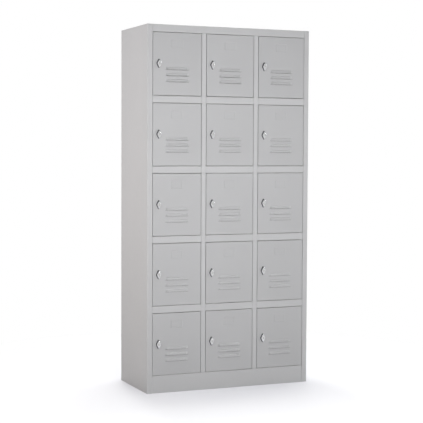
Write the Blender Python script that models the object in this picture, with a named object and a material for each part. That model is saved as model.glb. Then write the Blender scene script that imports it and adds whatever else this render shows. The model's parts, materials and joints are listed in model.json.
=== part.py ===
"""Sheet-steel locker: a welded cabinet with fifteen compartments, each behind a flush hinged door
with a turning lock.

Metres, +Z up. Someone who faces the doors has +X to the right and +Y to the back. The origin is at
the centre of the base of the whole outline, lock handles included. Run it with
blender --background --python part.py, or from the text editor.
"""

import math

import bmesh
import bpy

# Overall size of the cabinet, without the lock handles
WIDTH = 0.900
DEPTH = 0.400
HEIGHT = 1.850

# Layout of the front: rows count from the top, columns from the left
COLUMN_NAMES = ("left", "middle", "right")
ROWS = 5
STILE = 0.0275
POST = 0.025
HEADER = 0.037
RAIL = 0.0355
PLINTH = 0.0885

# Sheet metal
SHEET = 0.001
BEND_RADIUS = 0.0008
BEND_STEPS = 2
CLEARANCE = 0.0003
# The joint that shows between a stile and the header, rails and plinth beside it
SEAM = 0.0011
FRONT_RETURN = 0.022
WELD_FLANGE = 0.015
FLOOR_LAP = 0.011

# Doors
DOOR_GAP = 0.002
DOOR_DEPTH = 0.018
DOOR_LIP = 0.012
DOOR_EDGE_RADIUS = 0.001
DOOR_EDGE_STEPS = 2
STOP_GAP = 0.0005
STOP_WIDTH = 0.008
STOP_END_GAP = 0.001

# Hinge pins, fixed in the door's top and bottom folds
HINGE_FROM_EDGE = 0.008
HINGE_BEHIND_FACE = 0.005
PIN_RADIUS = 0.0025
PIN_REACH = 0.004
SHOULDER_RADIUS = 0.004
PIN_SIDES = 10

# Vent louvres, pressed outwards and open below
LOUVRES = 3
LOUVRE_WIDTH = 0.126
LOUVRE_HEIGHT = 0.015
LOUVRE_PROUD = 0.0045
LOUVRE_PITCH = 0.030
LOUVRE_END_SLOPE = 0.006
LOUVRE_MIDDLE_BELOW_CENTRE = 0.052
# The hood's section from its top edge to its lip, as shares of LOUVRE_PROUD and of half its height
LOUVRE_SECTION_SHARES = ((0, 1), (0.65, 0.6), (1, -1))

# Card holder, a pressed frame
CARD_WIDTH = 0.062
CARD_HEIGHT = 0.040
CARD_RIM = 0.0065
CARD_PROUD = 0.0012
CARD_SLOPE = 0.0010
CARD_ABOVE_CENTRE = 0.101

# Turning lock: handle, barrel and cam
LOCK_FROM_EDGE = 0.0315
LOCK_ABOVE_CENTRE = 0.0015
LOCK_PROUD = 0.012
HANDLE_MIDDLE_RADIUS = 0.0125
HANDLE_END_RADIUS = 0.0045
HANDLE_REACH = 0.0185
HANDLE_CROWN = 0.004
HANDLE_DRAFT = 0.001
KEYHOLE_WIDTH = 0.0014
KEYHOLE_HEIGHT = 0.008
KEYHOLE_DEPTH = 0.006
BARREL_RADIUS = 0.008
BUSHING_WALL = 0.0027
BARREL_SIDES = 12
CAM_WIDTH = 0.016
CAM_LENGTH = 0.043
CAM_THICKNESS = 0.002
CAM_GAP = 0.0015
CAM_SCREW_RADIUS = 0.005
CAM_SCREW_HEIGHT = 0.0025

# How far a cutter runs past the face that it opens
OVERRUN = 0.001

# Steps of the handle's rounded top, as shares of the crown's height and inset
CROWN_HEIGHT_SHARES = (0.0, 0.55, 1.0)
CROWN_INSET_SHARES = (0.0, 0.3, 0.9)
ARC_STEPS = 3

# Faces that meet at more than this angle keep a sharp edge between them
SMOOTH_ANGLE = math.radians(40)

# Worked out from the sizes above
COLUMNS = len(COLUMN_NAMES)
FRONT = -(DEPTH - LOCK_PROUD) / 2
BACK = FRONT + DEPTH
OPENING_WIDTH = (WIDTH - 2 * STILE - (COLUMNS - 1) * POST) / COLUMNS
OPENING_HEIGHT = (HEIGHT - HEADER - PLINTH - (ROWS - 1) * RAIL) / ROWS
DOOR_WIDTH = OPENING_WIDTH - 2 * DOOR_GAP
DOOR_HEIGHT = OPENING_HEIGHT - 2 * DOOR_GAP
JAMB_DEPTH = DOOR_DEPTH + STOP_GAP + SHEET
BACK_PANEL_FRONT = BACK - 2 * SHEET - CLEARANCE
WALL_REAR = BACK_PANEL_FRONT - CLEARANCE
SHELF_REAR = WALL_REAR - SHEET - CLEARANCE
TOP_UNDERSIDE = HEIGHT - SHEET
HINGE_Y = FRONT + HINGE_BEHIND_FACE
# A hole's flats, not its corners, clear the round piece in it
HOLE_RADIUS = (PIN_RADIUS + CLEARANCE) / math.cos(math.pi / PIN_SIDES)
BORE_RADIUS = (BARREL_RADIUS + CLEARANCE) / math.cos(math.pi / BARREL_SIDES)

# Where a flat outline's own two directions, and the direction that it is pushed in, lie
PUSHED_ALONG = {
    "X": lambda u, v, w: (w, u, v),
    "Y": lambda u, v, w: (u, w, v),
    "Z": lambda u, v, w: (u, v, w),
}


def clear_scene():
    for item in list(bpy.data.objects):
        bpy.data.objects.remove(item)


def make_material(name, colour, roughness, metallic):
    material = bpy.data.materials.new(name)
    material.use_nodes = True
    shader = material.node_tree.nodes["Principled BSDF"]
    shader.inputs["Base Color"].default_value = (*colour, 1.0)
    shader.inputs["Roughness"].default_value = roughness
    shader.inputs["Metallic"].default_value = metallic
    return material


def new_object(name, mesh):
    item = bpy.data.objects.new(name, mesh)
    bpy.context.scene.collection.objects.link(item)
    return item


def stack(name, outlines, heights, along):
    """A closed solid through outlines of equal length, one at each height."""
    place = PUSHED_ALONG[along]
    shape = bmesh.new()
    rings = []
    for outline, height in zip(outlines, heights):
        rings.append([shape.verts.new(place(u, v, height)) for u, v in outline])
    count = len(rings[0])
    for lower, upper in zip(rings, rings[1:]):
        for i in range(count):
            j = (i + 1) % count
            shape.faces.new((lower[i], lower[j], upper[j], upper[i]))
    shape.faces.new(rings[0])
    shape.faces.new(rings[-1])
    bmesh.ops.recalc_face_normals(shape, faces=shape.faces)
    mesh = bpy.data.meshes.new(name)
    shape.to_mesh(mesh)
    shape.free()
    return new_object(name, mesh)


def prism(name, outline, start, end, along):
    return stack(name, (outline, outline), (start, end), along)


def rectangle(u_low, u_high, v_low, v_high):
    return ((u_low, v_low), (u_high, v_low), (u_high, v_high), (u_low, v_high))


def box(name, x_span, y_span, z_span):
    return prism(name, rectangle(*x_span, *y_span), *z_span, "Z")


def circle(centre_u, centre_v, radius, sides):
    turns = [2 * math.pi * i / sides for i in range(sides)]
    return [(centre_u + radius * math.cos(t), centre_v + radius * math.sin(t)) for t in turns]


def combine(base, others, operation):
    """Joins the others to the base, or cuts them from it, and takes them away."""
    for other in others:
        step = base.modifiers.new(operation.lower(), "BOOLEAN")
        step.operation = operation
        step.solver = "EXACT"
        step.object = other
    graph = bpy.context.evaluated_depsgraph_get()
    mesh = bpy.data.meshes.new_from_object(base.evaluated_get(graph))
    base.modifiers.clear()
    base.data = mesh
    for other in others:
        bpy.data.objects.remove(other)
    return base


def finish(item, material, name):
    """Gives a piece its material, and shades its round stretches smooth."""
    mesh = item.data
    mesh.name = name
    mesh.materials.clear()
    mesh.materials.append(material)
    mesh.shade_smooth()
    mesh.set_sharp_from_angle(angle=SMOOTH_ANGLE)
    return item


def folded_outline(path):
    """Outline of a sheet folded along path, which is the middle of its thickness."""
    radius = BEND_RADIUS + SHEET / 2
    stations = []
    for i, (u, v) in enumerate(path):
        before = path[max(i - 1, 0)]
        after = path[min(i + 1, len(path) - 1)]
        heading_in = math.atan2(v - before[1], u - before[0])
        heading_out = math.atan2(after[1] - v, after[0] - u)
        if i == 0:
            stations.append((u, v, heading_out))
        elif i == len(path) - 1:
            stations.append((u, v, heading_in))
        else:
            turn = (heading_out - heading_in + math.pi) % (2 * math.pi) - math.pi
            side = math.copysign(1, turn)
            run = radius * math.tan(abs(turn) / 2)
            start_u = u - run * math.cos(heading_in)
            start_v = v - run * math.sin(heading_in)
            centre_u = start_u - side * radius * math.sin(heading_in)
            centre_v = start_v + side * radius * math.cos(heading_in)
            for step in range(BEND_STEPS + 1):
                heading = heading_in + turn * step / BEND_STEPS
                on_u = centre_u + side * radius * math.sin(heading)
                on_v = centre_v - side * radius * math.cos(heading)
                stations.append((on_u, on_v, heading))
    half = SHEET / 2
    left = [(u - half * math.sin(h), v + half * math.cos(h)) for u, v, h in stations]
    right = [(u + half * math.sin(h), v - half * math.cos(h)) for u, v, h in stations]
    return left + right[::-1]


def opening_left(column):
    return -WIDTH / 2 + STILE + column * (OPENING_WIDTH + POST)


def opening_right(column):
    return opening_left(column) + OPENING_WIDTH


def opening_bottom(row):
    return PLINTH + (ROWS - 1 - row) * (OPENING_HEIGHT + RAIL)


def opening_top(row):
    return opening_bottom(row) + OPENING_HEIGHT


def hinge_x(column):
    return opening_right(column) - DOOR_GAP - HINGE_FROM_EDGE


def web_middle(post):
    """Middle of the divider sheet behind the post that follows this column."""
    return opening_right(post) + POST / 2


def wall_left(column):
    """Inner face of whatever bounds this column of compartments on the left."""
    if column == 0:
        return -WIDTH / 2 + SHEET
    return web_middle(column - 1) + SHEET / 2


def wall_right(column):
    if column == COLUMNS - 1:
        return WIDTH / 2 - SHEET
    return web_middle(column) - SHEET / 2


def stop_strips(jamb_face):
    """Strips behind the latch side of each door, which the door closes against."""
    strips = []
    for row in range(ROWS):
        strips.append(box(
            f"stop_{row}",
            (jamb_face - SHEET / 2, jamb_face + STOP_WIDTH),
            (FRONT + JAMB_DEPTH - SHEET, FRONT + JAMB_DEPTH),
            (opening_bottom(row) + STOP_END_GAP, opening_top(row) - STOP_END_GAP),
        ))
    return strips


def make_side_panel(name, side, material):
    """Side wall with the front stile and a rear flange folded from it, and flanges at top and foot."""
    outer = side * (WIDTH / 2 - SHEET / 2)
    path = (
        (side * (WIDTH / 2 - STILE), FRONT + SHEET / 2),
        (outer, FRONT + SHEET / 2),
        (outer, BACK - SHEET / 2),
        (side * (WIDTH / 2 - WELD_FLANGE), BACK - SHEET / 2),
    )
    top = TOP_UNDERSIDE - CLEARANCE
    panel = prism(name, folded_outline(path), 0, top, "Z")
    flange_x = sorted((outer, side * (WIDTH / 2 - WELD_FLANGE)))
    flange_y = (FRONT + JAMB_DEPTH + CLEARANCE, WALL_REAR)
    flanges = [
        box("foot_flange", flange_x, flange_y, (0, SHEET)),
        box("head_flange", flange_x, flange_y, (top - SHEET, top)),
    ]
    combine(panel, flanges, "UNION")
    return finish(panel, material, name)


def make_jamb(name, side, material):
    """Angle welded behind the stile, whose deep leg lines the door openings beside it."""
    edge = side * (WIDTH / 2 - STILE)
    face = FRONT + SHEET + CLEARANCE + SHEET / 2
    path = (
        (edge + side * WELD_FLANGE, face),
        (edge + side * SHEET / 2, face),
        (edge + side * SHEET / 2, FRONT + JAMB_DEPTH),
    )
    jamb = prism(name, folded_outline(path), 0, TOP_UNDERSIDE - CLEARANCE, "Z")
    if side < 0:
        combine(jamb, stop_strips(opening_left(0)), "UNION")
    return finish(jamb, material, name)


def hinge_holes(columns, z_middle):
    """Cutters for the hinge pins through one horizontal sheet."""
    reach = SHEET / 2 + OVERRUN
    holes = []
    for column in columns:
        outline = circle(hinge_x(column), HINGE_Y, HOLE_RADIUS, PIN_SIDES)
        holes.append(prism(f"hole_{column}", outline, z_middle - reach, z_middle + reach, "Z"))
    return holes


def make_top_panel(material):
    """Top sheet with the header folded down at the front and a flange at the back."""
    inner = WIDTH / 2 - STILE - SEAM
    header_bottom = HEIGHT - HEADER + SHEET / 2
    path = (
        (FRONT + FRONT_RETURN, header_bottom),
        (FRONT + SHEET / 2, header_bottom),
        (FRONT + SHEET / 2, HEIGHT - SHEET / 2),
        (BACK - SHEET / 2, HEIGHT - SHEET / 2),
        (BACK - SHEET / 2, HEIGHT - WELD_FLANGE),
    )
    panel = prism("top_panel", folded_outline(path), -inner, inner, "X")
    ends = []
    for side in (-1, 1):
        x_span = sorted((side * (inner - SHEET), side * WIDTH / 2))
        ends.append(box("top_end", x_span, (FRONT, BACK), (TOP_UNDERSIDE, HEIGHT)))
    combine(panel, ends, "UNION")
    combine(panel, hinge_holes(range(COLUMNS), header_bottom), "DIFFERENCE")
    return finish(panel, material, "top_panel")


def make_plinth(material):
    """Front kick plate, with a sill that takes the lowest hinge pins and a flange on the floor."""
    inner = WIDTH / 2 - STILE - SEAM
    sill = PLINTH - SHEET / 2
    path = (
        (FRONT + FRONT_RETURN, SHEET / 2),
        (FRONT + SHEET / 2, SHEET / 2),
        (FRONT + SHEET / 2, sill),
        (FRONT + FRONT_RETURN, sill),
    )
    plinth = prism("plinth", folded_outline(path), -inner, inner, "X")
    combine(plinth, hinge_holes(range(COLUMNS), sill), "DIFFERENCE")
    return finish(plinth, material, "plinth")


def make_bottom_panel(material):
    """Floor of the lowest compartments, lapped under the plinth's sill and slotted for the jambs."""
    top = PLINTH - SHEET - CLEARANCE
    z_span = (top - SHEET, top)
    narrow = WIDTH / 2 - STILE - CLEARANCE
    past_jamb = WIDTH / 2 - STILE + SHEET + 2 * CLEARANCE
    wide = WIDTH / 2 - SHEET - CLEARANCE
    corner = FRONT + 2 * SHEET + 3 * CLEARANCE
    split = FRONT + JAMB_DEPTH + CLEARANCE
    right_half = (
        (narrow, FRONT + FLOOR_LAP), (narrow, split), (past_jamb, split), (past_jamb, corner),
        (wide, corner), (wide, WALL_REAR),
    )
    outline = right_half + tuple((-x, y) for x, y in reversed(right_half))
    panel = prism("bottom_panel", outline, *z_span, "Z")
    flanges = []
    for side in (-1, 1):
        x_span = sorted((side * (wide - SHEET), side * wide))
        flanges.append(box("side_flange", x_span, (split, WALL_REAR), (top - WELD_FLANGE, top)))
    rear = (WALL_REAR - SHEET, WALL_REAR)
    flanges.append(box("rear_flange", (-wide, wide), rear, (top - WELD_FLANGE, top)))
    combine(panel, flanges, "UNION")
    return finish(panel, material, "bottom_panel")


def make_back_panel(material):
    half = WIDTH / 2 - SHEET - CLEARANCE
    y_span = (BACK_PANEL_FRONT, BACK_PANEL_FRONT + SHEET)
    panel = box("back_panel", (-half, half), y_span, (0, TOP_UNDERSIDE - CLEARANCE))
    return finish(panel, material, "back_panel")


def make_partition(name, post, material):
    """Front post and divider wall, folded from one sheet."""
    left = opening_right(post) + SHEET / 2
    right = opening_left(post + 1) - SHEET / 2
    web = web_middle(post)
    path = (
        (right, FRONT + JAMB_DEPTH),
        (right, FRONT + SHEET / 2),
        (left, FRONT + SHEET / 2),
        (left, FRONT + JAMB_DEPTH - SHEET / 2),
        (web, FRONT + JAMB_DEPTH - SHEET / 2),
        (web, WALL_REAR - SHEET / 2),
        (web + WELD_FLANGE, WALL_REAR - SHEET / 2),
    )
    foot = PLINTH + CLEARANCE
    head = HEIGHT - HEADER - CLEARANCE
    partition = prism(name, folded_outline(path), foot, head, "Z")
    tongue = box(
        "tongue",
        (web - SHEET / 2, web + SHEET / 2),
        (FRONT + FRONT_RETURN + CLEARANCE, WALL_REAR - WELD_FLANGE),
        (PLINTH - SHEET, TOP_UNDERSIDE - CLEARANCE),
    )
    combine(partition, [tongue] + stop_strips(opening_left(post + 1)), "UNION")
    return finish(partition, material, name)


def make_shelf(name, row, column, material):
    """Shelf under this row's compartment, with the front rail folded from it."""
    top = opening_bottom(row)
    rail_bottom = top - RAIL + SHEET / 2
    path = (
        (FRONT + FRONT_RETURN, rail_bottom),
        (FRONT + SHEET / 2, rail_bottom),
        (FRONT + SHEET / 2, top - SHEET / 2),
        (SHELF_REAR - SHEET / 2, top - SHEET / 2),
        (SHELF_REAR - SHEET / 2, top - WELD_FLANGE),
    )
    left_gap = SEAM if column == 0 else CLEARANCE
    right_gap = SEAM if column == COLUMNS - 1 else CLEARANCE
    x_span = (opening_left(column) + left_gap, opening_right(column) - right_gap)
    shelf = prism(name, folded_outline(path), *x_span, "X")
    left = wall_left(column) + CLEARANCE
    right = wall_right(column) - CLEARANCE
    y_span = (FRONT + JAMB_DEPTH + CLEARANCE, SHELF_REAR - BEND_RADIUS - SHEET)
    pieces = []
    for outer, inner in ((left, x_span[0] + SHEET), (right, x_span[1] - SHEET)):
        side = math.copysign(SHEET, inner - outer)
        sheet_x = sorted((outer, inner))
        fold_x = sorted((outer, outer + side))
        pieces.append(box("wing", sheet_x, y_span, (top - SHEET, top)))
        pieces.append(box("side_flange", fold_x, y_span, (top - WELD_FLANGE, top)))
    combine(shelf, pieces, "UNION")
    holes = hinge_holes([column], top - SHEET / 2) + hinge_holes([column], rail_bottom)
    combine(shelf, holes, "DIFFERENCE")
    return finish(shelf, material, name)


def louvre_solid(name, middle_x, middle_z, profile, half_width):
    """A hood whose ends slope in as it stands further out. Profile points are (proud, z)."""
    face = -HINGE_BEHIND_FACE
    slope = LOUVRE_END_SLOPE / LOUVRE_PROUD
    ends = []
    for side in (-1, 1):
        ends.append([
            (middle_x + side * (half_width - slope * proud), face - proud, middle_z + z)
            for proud, z in profile
        ])
    shape = bmesh.new()
    left = [shape.verts.new(point) for point in ends[0]]
    right = [shape.verts.new(point) for point in ends[1]]
    count = len(profile)
    for i in range(count):
        j = (i + 1) % count
        shape.faces.new((left[i], left[j], right[j], right[i]))
    shape.faces.new(left)
    shape.faces.new(right)
    bmesh.ops.recalc_face_normals(shape, faces=shape.faces)
    mesh = bpy.data.meshes.new(name)
    shape.to_mesh(mesh)
    shape.free()
    return new_object(name, mesh)


def inner_section(section, behind, low):
    """The section's lines moved in by the sheet, from behind the door down to below the lip."""
    lines = []
    for (p, z), (next_p, next_z) in zip(section, section[1:]):
        rise = (next_p - p) / (z - next_z)
        lines.append((p - SHEET * math.hypot(1, rise), z, rise))
    points = []
    first_p, first_z, first_rise = lines[0]
    points.append((-behind, first_z + (first_p + behind) / first_rise))
    for (p, z, rise), (next_p, next_z, next_rise) in zip(lines, lines[1:]):
        meet_z = (next_p + next_rise * next_z - p - rise * z) / (next_rise - rise)
        points.append((p + rise * (z - meet_z), meet_z))
    last_p, last_z, last_rise = lines[-1]
    points.append((last_p + last_rise * (last_z - low), low))
    points.append((-behind, low))
    return points


def louvre_pair(name, middle_x, middle_z):
    """The outside of one louvre's hood, and the cutter that hollows it and opens it below."""
    half = LOUVRE_HEIGHT / 2
    section = [(LOUVRE_PROUD * out, half * up) for out, up in LOUVRE_SECTION_SHARES]
    outside = section + [(-SHEET / 2, -half), (-SHEET / 2, half)]
    inside = inner_section(section, SHEET + OVERRUN, -half - OVERRUN / 2)
    hood = louvre_solid(name + "_hood", middle_x, middle_z, outside, LOUVRE_WIDTH / 2)
    cutter = louvre_solid(name + "_inside", middle_x, middle_z, inside, LOUVRE_WIDTH / 2 - SHEET)
    return hood, cutter


def card_frame(middle_x, middle_z):
    """Raised rim of the card holder."""
    face = -HINGE_BEHIND_FACE

    def outline(inset):
        half_x = CARD_WIDTH / 2 - inset
        half_z = CARD_HEIGHT / 2 - inset
        return rectangle(middle_x - half_x, middle_x + half_x, middle_z - half_z, middle_z + half_z)

    rim = stack(
        "card_rim",
        (outline(0), outline(0), outline(CARD_SLOPE)),
        (face + SHEET / 2, face, face - CARD_PROUD),
        "Y",
    )
    window = stack(
        "card_window",
        (outline(CARD_RIM), outline(CARD_RIM - 2 * CARD_SLOPE)),
        (face, face - 2 * CARD_PROUD),
        "Y",
    )
    return rim, window


def make_door_mesh(material):
    """One door about its hinge axis, which is at x = y = 0 and half way up."""
    left = HINGE_FROM_EDGE - DOOR_WIDTH
    right = HINGE_FROM_EDGE
    middle_x = (left + right) / 2
    face = -HINGE_BEHIND_FACE
    rear = face + DOOR_DEPTH
    half_height = DOOR_HEIGHT / 2

    def outline(inset):
        return rectangle(left + inset, right - inset, -half_height + inset, half_height - inset)

    insets = []
    heights = []
    for step in range(DOOR_EDGE_STEPS + 1):
        turn = math.pi / 2 * step / DOOR_EDGE_STEPS
        insets.append(DOOR_EDGE_RADIUS * (1 - math.sin(turn)))
        heights.append(face + DOOR_EDGE_RADIUS * (1 - math.cos(turn)))
    outlines = [outline(inset) for inset in insets] + [outline(0)]
    door = stack("door", outlines, heights + [rear], "Y")
    cavity = prism("cavity", outline(SHEET), face + SHEET, rear - SHEET, "Y")
    mouth = prism("mouth", outline(DOOR_LIP), rear - 2 * SHEET, rear + OVERRUN, "Y")
    combine(door, [cavity, mouth], "DIFFERENCE")

    added = []
    cut = []
    for i in range(LOUVRES):
        below = LOUVRE_MIDDLE_BELOW_CENTRE + (i - (LOUVRES - 1) / 2) * LOUVRE_PITCH
        hood, inside = louvre_pair(f"louvre_{i}", middle_x, -below)
        added.append(hood)
        cut.append(inside)
    lock_x = left + LOCK_FROM_EDGE
    lock_z = LOCK_ABOVE_CENTRE
    bushing = circle(lock_x, lock_z, BORE_RADIUS + BUSHING_WALL, BARREL_SIDES)
    bore = circle(lock_x, lock_z, BORE_RADIUS, BARREL_SIDES)
    bushing_rear = face + JAMB_DEPTH
    added.append(prism("bushing", bushing, face + SHEET / 2, bushing_rear, "Y"))
    cut.append(prism("bore", bore, face - OVERRUN, bushing_rear + OVERRUN, "Y"))
    rim, window = card_frame(middle_x, CARD_ABOVE_CENTRE)
    combine(rim, [window], "DIFFERENCE")
    added.append(rim)
    for side in (-1, 1):
        edge = side * half_height
        pin_end = edge + side * (DOOR_GAP + SHEET + PIN_REACH)
        shoulder_end = edge + side * (DOOR_GAP - CLEARANCE)
        pin_span = sorted((edge - side * SHEET / 2, pin_end))
        shoulder_span = sorted((edge - side * SHEET / 2, shoulder_end))
        added.append(prism("pin", circle(0, 0, PIN_RADIUS, PIN_SIDES), *pin_span, "Z"))
        added.append(prism("shoulder", circle(0, 0, SHOULDER_RADIUS, PIN_SIDES), *shoulder_span, "Z"))
    combine(door, added, "UNION")
    combine(door, cut, "DIFFERENCE")
    finish(door, material, "door")
    mesh = door.data
    bpy.data.objects.remove(door)
    return mesh


def handle_outline(inset):
    """A pointed oval: a wide round middle drawn to a small round end above and below."""
    middle = HANDLE_MIDDLE_RADIUS - inset
    end = HANDLE_END_RADIUS - inset
    lean = math.asin((middle - end) / HANDLE_REACH)
    arcs = (
        (0, middle, -lean, lean),
        (HANDLE_REACH, end, lean, math.pi - lean),
        (0, middle, math.pi - lean, math.pi + lean),
        (-HANDLE_REACH, end, math.pi + lean, 2 * math.pi - lean),
    )
    points = []
    for centre_v, radius, start, stop in arcs:
        for step in range(ARC_STEPS + 1):
            turn = start + (stop - start) * step / ARC_STEPS
            points.append((radius * math.cos(turn), centre_v + radius * math.sin(turn)))
    return points


def cam_outline():
    """A flat tongue that hangs down from the barrel, with round ends."""
    half = CAM_WIDTH / 2
    points = []
    for centre_v, start in ((0, 0), (-(CAM_LENGTH - half), math.pi)):
        for step in range(2 * ARC_STEPS + 1):
            turn = start + math.pi * step / (2 * ARC_STEPS)
            points.append((half * math.cos(turn), centre_v + half * math.sin(turn)))
    return points


def make_lock_mesh(material):
    """One lock about its own axis, at x = z = 0, with y = 0 at the door's face."""
    crown_start = LOCK_PROUD - HANDLE_CROWN
    insets = [0]
    heights = [-CLEARANCE]
    for height_share, inset_share in zip(CROWN_HEIGHT_SHARES, CROWN_INSET_SHARES):
        room = HANDLE_END_RADIUS - HANDLE_DRAFT
        insets.append(HANDLE_DRAFT + room * inset_share)
        heights.append(-crown_start - HANDLE_CROWN * height_share)
    handle = stack("lock", [handle_outline(inset) for inset in insets], heights, "Y")
    cam_front = JAMB_DEPTH + CAM_GAP
    cam_rear = cam_front + CAM_THICKNESS
    screw_rear = cam_rear + CAM_SCREW_HEIGHT
    barrel = circle(0, 0, BARREL_RADIUS, BARREL_SIDES)
    screw = circle(0, 0, CAM_SCREW_RADIUS, PIN_SIDES)
    added = [
        prism("barrel", barrel, -crown_start / 2, cam_front + CAM_THICKNESS / 2, "Y"),
        prism("cam", cam_outline(), cam_front, cam_rear, "Y"),
        prism("cam_screw", screw, cam_front + CAM_THICKNESS / 2, screw_rear, "Y"),
    ]
    combine(handle, added, "UNION")
    keyhole = rectangle(-KEYHOLE_WIDTH / 2, KEYHOLE_WIDTH / 2, -KEYHOLE_HEIGHT / 2, KEYHOLE_HEIGHT / 2)
    slot = prism("keyhole", keyhole, -LOCK_PROUD - OVERRUN, KEYHOLE_DEPTH - LOCK_PROUD, "Y")
    combine(handle, [slot], "DIFFERENCE")
    finish(handle, material, "lock")
    mesh = handle.data
    bpy.data.objects.remove(handle)
    return mesh


def make_doors_and_locks(door_paint, chrome, cabinet):
    door_mesh = make_door_mesh(door_paint)
    lock_mesh = make_lock_mesh(chrome)
    for row in range(ROWS):
        middle_z = (opening_bottom(row) + opening_top(row)) / 2
        for column, column_name in enumerate(COLUMN_NAMES):
            place = f"row{row + 1}_{column_name}"
            door = new_object(f"door_{place}", door_mesh)
            door.parent = cabinet
            door.location = (hinge_x(column), HINGE_Y, middle_z)
            lock = new_object(f"lock_{place}", lock_mesh)
            lock.parent = door
            lock_x = HINGE_FROM_EDGE - DOOR_WIDTH + LOCK_FROM_EDGE
            lock.location = (lock_x, -HINGE_BEHIND_FACE, LOCK_ABOVE_CENTRE)


def main():
    clear_scene()
    frame_paint = make_material("frame_paint", (0.57, 0.57, 0.58), 0.42, 0.0)
    door_paint = make_material("door_paint", (0.52, 0.52, 0.53), 0.42, 0.0)
    chrome = make_material("chrome", (0.62, 0.62, 0.63), 0.18, 1.0)
    cabinet = new_object("cabinet", None)
    pieces = [
        make_side_panel("side_panel_left", -1, frame_paint),
        make_side_panel("side_panel_right", 1, frame_paint),
        make_jamb("jamb_left", -1, frame_paint),
        make_jamb("jamb_right", 1, frame_paint),
        make_top_panel(frame_paint),
        make_bottom_panel(frame_paint),
        make_back_panel(frame_paint),
        make_plinth(frame_paint),
    ]
    for post in range(COLUMNS - 1):
        pieces.append(make_partition(f"partition_{COLUMN_NAMES[post]}", post, frame_paint))
    for row in range(ROWS - 1):
        for column, column_name in enumerate(COLUMN_NAMES):
            name = f"shelf_row{row + 1}_{column_name}"
            pieces.append(make_shelf(name, row, column, frame_paint))
    for piece in pieces:
        piece.parent = cabinet
    make_doors_and_locks(door_paint, chrome, cabinet)


main()
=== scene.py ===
"""Looks of the sheet-steel locker: powder coat on the cabinet's sheets, detailed doors and locks that
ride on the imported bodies, a pale floor, studio light and the photograph's camera.

Metres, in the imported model's frame: +X to the right of someone who faces the doors, +Y to the back.
"""

import json
import math

import bmesh
import bpy
from mathutils import Matrix, Vector


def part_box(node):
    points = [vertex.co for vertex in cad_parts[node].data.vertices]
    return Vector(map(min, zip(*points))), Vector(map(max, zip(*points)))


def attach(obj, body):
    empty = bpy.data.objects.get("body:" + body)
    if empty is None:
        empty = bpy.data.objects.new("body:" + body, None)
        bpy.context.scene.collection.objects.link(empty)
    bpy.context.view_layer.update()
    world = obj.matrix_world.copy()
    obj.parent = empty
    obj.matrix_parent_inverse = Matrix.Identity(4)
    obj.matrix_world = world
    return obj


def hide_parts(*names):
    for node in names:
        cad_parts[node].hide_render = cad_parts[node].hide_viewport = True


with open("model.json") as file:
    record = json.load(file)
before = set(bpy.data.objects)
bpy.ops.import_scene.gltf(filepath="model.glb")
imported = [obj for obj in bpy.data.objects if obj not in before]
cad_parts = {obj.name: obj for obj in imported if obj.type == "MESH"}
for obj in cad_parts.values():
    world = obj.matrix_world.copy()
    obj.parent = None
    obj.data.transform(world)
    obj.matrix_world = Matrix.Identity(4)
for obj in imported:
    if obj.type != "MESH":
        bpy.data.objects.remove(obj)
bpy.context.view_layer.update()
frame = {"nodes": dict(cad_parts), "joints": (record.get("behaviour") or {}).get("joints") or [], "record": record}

# Sheet metal, and the room between pieces that fit into each other
SHEET = 0.001
FINE_GAP = 0.0002

# Door pans, about their own hinge axis
HINGE_FROM_EDGE = 0.008
HINGE_BEHIND_FACE = 0.005
DOOR_GAP = 0.002
DOOR_DEPTH = 0.018
DOOR_LIP = 0.012
FOLD_RADIUS = 0.001
REAR_FOLD_RADIUS = 0.0014
INNER_RADIUS = 0.0004
PAN_CORNER_RADIUS = 0.0008
PAN_INNER_CORNER_RADIUS = 0.0002
FOLD_STEPS = 5
CORNER_STEPS = 3

# Hinge pins, fixed in the pan's top and bottom folds
PIN_RADIUS = 0.0025
PIN_REACH = 0.004
SHOULDER_RADIUS = 0.004
SHOULDER_GAP = 0.0003
PIN_CHAMFER = 0.0006

# Louvres, pressed outwards and open below
LOUVRES = 3
LOUVRE_WIDTH = 0.126
LOUVRE_HEIGHT = 0.015
LOUVRE_PROUD = 0.0045
LOUVRE_PITCH = 0.030
LOUVRE_END_SLOPE = 0.013
LOUVRE_SLIT = 0.0008
LOUVRE_LIP = 0.0010
LOUVRE_MIDDLE_BELOW_CENTRE = 0.052
# The hood rises over the first share of its height, to a share of its depth, and leans out evenly below
LOUVRE_RISE_SHARE = 0.28
LOUVRE_SHOULDER_SHARE = 0.58
LOUVRE_END_STEPS = 10
LOUVRE_RISE_STEPS = 7
LOUVRE_LEAN_STEPS = 3

# Card holder, a pressed frame that a card slides under
CARD_WIDTH = 0.062
CARD_HEIGHT = 0.040
CARD_RIM = 0.0065
CARD_PROUD = 0.0012
CARD_SLOPE = 0.0010
CARD_FOOT = 0.0022
CARD_SLOT = 0.0005
CARD_CORNER_RADIUS = 0.002
CARD_INNER_CORNER_RADIUS = 0.0005
CARD_ABOVE_CENTRE = 0.101
# Where its outer and inner edges round over, as shares of the slope's width and of the frame's height
CARD_OUTER_ROUND = (0.7, 0.8)
CARD_INNER_ROUND = (0.3, 0.85)

# Place and depth of the turning lock
LOCK_FROM_EDGE = 0.0315
LOCK_ABOVE_CENTRE = 0.0015
LOCK_PROUD = 0.012

# Handle: a pointed oval, with a wide round middle and a small round end above and below
HANDLE_MIDDLE_RADIUS = 0.0125
HANDLE_END_RADIUS = 0.0045
HANDLE_REACH = 0.0185
HANDLE_CROWN = 0.004
HANDLE_DRAFT = 0.001
HANDLE_FOOT_GAP = 0.0003
HANDLE_FLAT_RADIUS = 0.0006
# The top falls by this much towards both ends, more steeply the higher the power
HANDLE_FALL = 0.004
HANDLE_FALL_POWER = 5
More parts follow.
